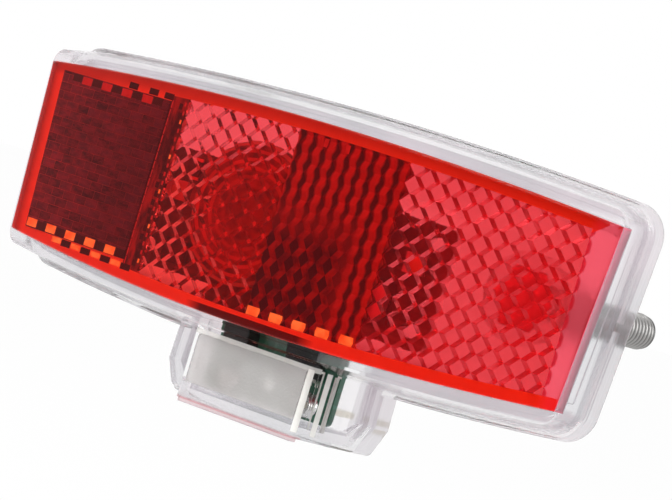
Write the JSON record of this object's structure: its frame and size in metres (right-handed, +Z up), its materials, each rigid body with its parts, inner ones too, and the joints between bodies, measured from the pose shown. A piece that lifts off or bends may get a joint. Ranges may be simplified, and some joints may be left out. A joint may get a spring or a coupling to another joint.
{
  "type": "bicycle rear light",
  "caption": "Wide bowed bicycle rear light: red prismatic reflector lens, clear housing with an electronics pocket below, and threaded studs behind for a luggage carrier.",
  "frame": {"origin": "middle of the two studs, on the housing's flat back, where it meets the carrier plate", "axes": "+X along the lens, to the right as seen from behind the bicycle; +Y along the studs, forwards into the carrier; +Z up"},
  "size_m": [0.1062, 0.033, 0.0457],
  "materials": {
    "red_lens": "clear red, glossy outside, prisms inside",
    "clear_housing": "colourless clear, glossy, with a frosted panel on the pocket",
    "plated_steel": "zinc plated, satin",
    "board_laminate": "green solder mask",
    "black_epoxy": "moulded, matt black",
    "tinned_metal": "bright tin",
    "solder": "smooth bright solder",
    "capacitor_can": "nickel plated",
    "aluminium_can": "drawn can",
    "ferrite": "pressed ferrite",
    "led_body": "white moulding with a clear bowl",
    "resistor_ceramic": "black glaze with tinned ends",
    "tan_ceramic": "tan ceramic with tinned ends",
    "tinned_brass": "tinned brass"
  },
  "bodies": {
    "root": {"red_lens": "red_lens", "lens_frame": "clear_housing", "rear_tray": "clear_housing", "stud_left": "plated_steel", "stud_right": "plated_steel", "circuit_board": "board_laminate", "control_chip": "black_epoxy", "bridge_rectifier": "black_epoxy", "driver_transistor": "black_epoxy", "suppressor_diode": "black_epoxy", "smoothing_base": "black_epoxy", "chip_leads": "tinned_metal", "rectifier_leads": "tinned_metal", "transistor_leads": "tinned_metal", "capacitor_tabs": "tinned_metal", "solder_joints": "solder", "storage_capacitor": "capacitor_can", "smoothing_capacitor": "aluminium_can", "storage_inductor": "ferrite", "led_left": "led_body", "led_right": "led_body", "led_resistors": "resistor_ceramic", "ceramic_capacitors": "tan_ceramic", "terminal_live": "tinned_brass", "terminal_earth": "tinned_brass"}
  },
  "joints": []
}
